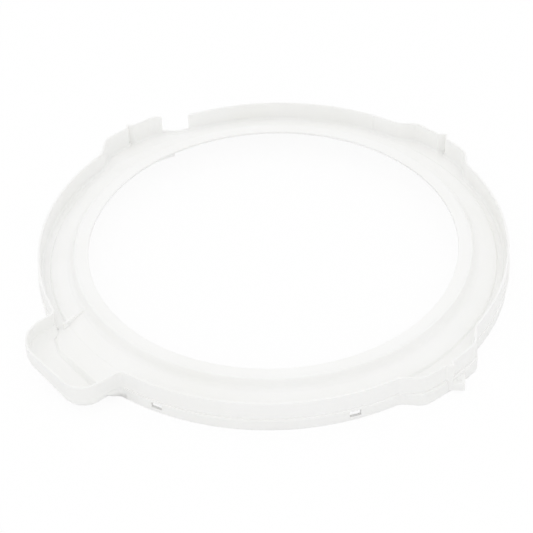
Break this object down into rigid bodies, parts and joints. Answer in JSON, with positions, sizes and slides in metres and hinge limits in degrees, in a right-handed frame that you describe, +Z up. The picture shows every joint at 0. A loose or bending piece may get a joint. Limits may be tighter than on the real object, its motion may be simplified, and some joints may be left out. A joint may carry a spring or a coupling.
{
  "type": "washing machine tub ring",
  "caption": "White moulded ring that closes the top of a washing machine tub: flat lip round the opening, sloping floor, standing wall with corner ears, and a pour-in tray.",
  "frame": {"origin": "on the resting plane, under the centre of the round opening", "axes": "+Z up, through the opening; +X to the right and +Y to the rear of the machine, so that the pour-in tray lies at the front left"},
  "size_m": [0.5929, 0.5929, 0.042],
  "materials": {
    "white_polypropylene": "satin"
  },
  "bodies": {
    "root": {"inner_lip": "white_polypropylene", "lip_ramp": "white_polypropylene", "lip_flank": "white_polypropylene", "sloping_floor": "white_polypropylene", "gutter_floor": "white_polypropylene", "tray_basin": "white_polypropylene", "front_right_tab": "white_polypropylene", "ear_rear_right": "white_polypropylene", "wall_rear": "white_polypropylene", "ear_rear_left": "white_polypropylene", "wall_left": "white_polypropylene", "tray_wall": "white_polypropylene", "wall_front": "white_polypropylene", "ear_front_right": "white_polypropylene", "wall_right": "white_polypropylene", "skirt_rear": "white_polypropylene", "skirt_left": "white_polypropylene", "skirt_front": "white_polypropylene", "skirt_right": "white_polypropylene", "flow_dam": "white_polypropylene"}
  },
  "joints": []
}
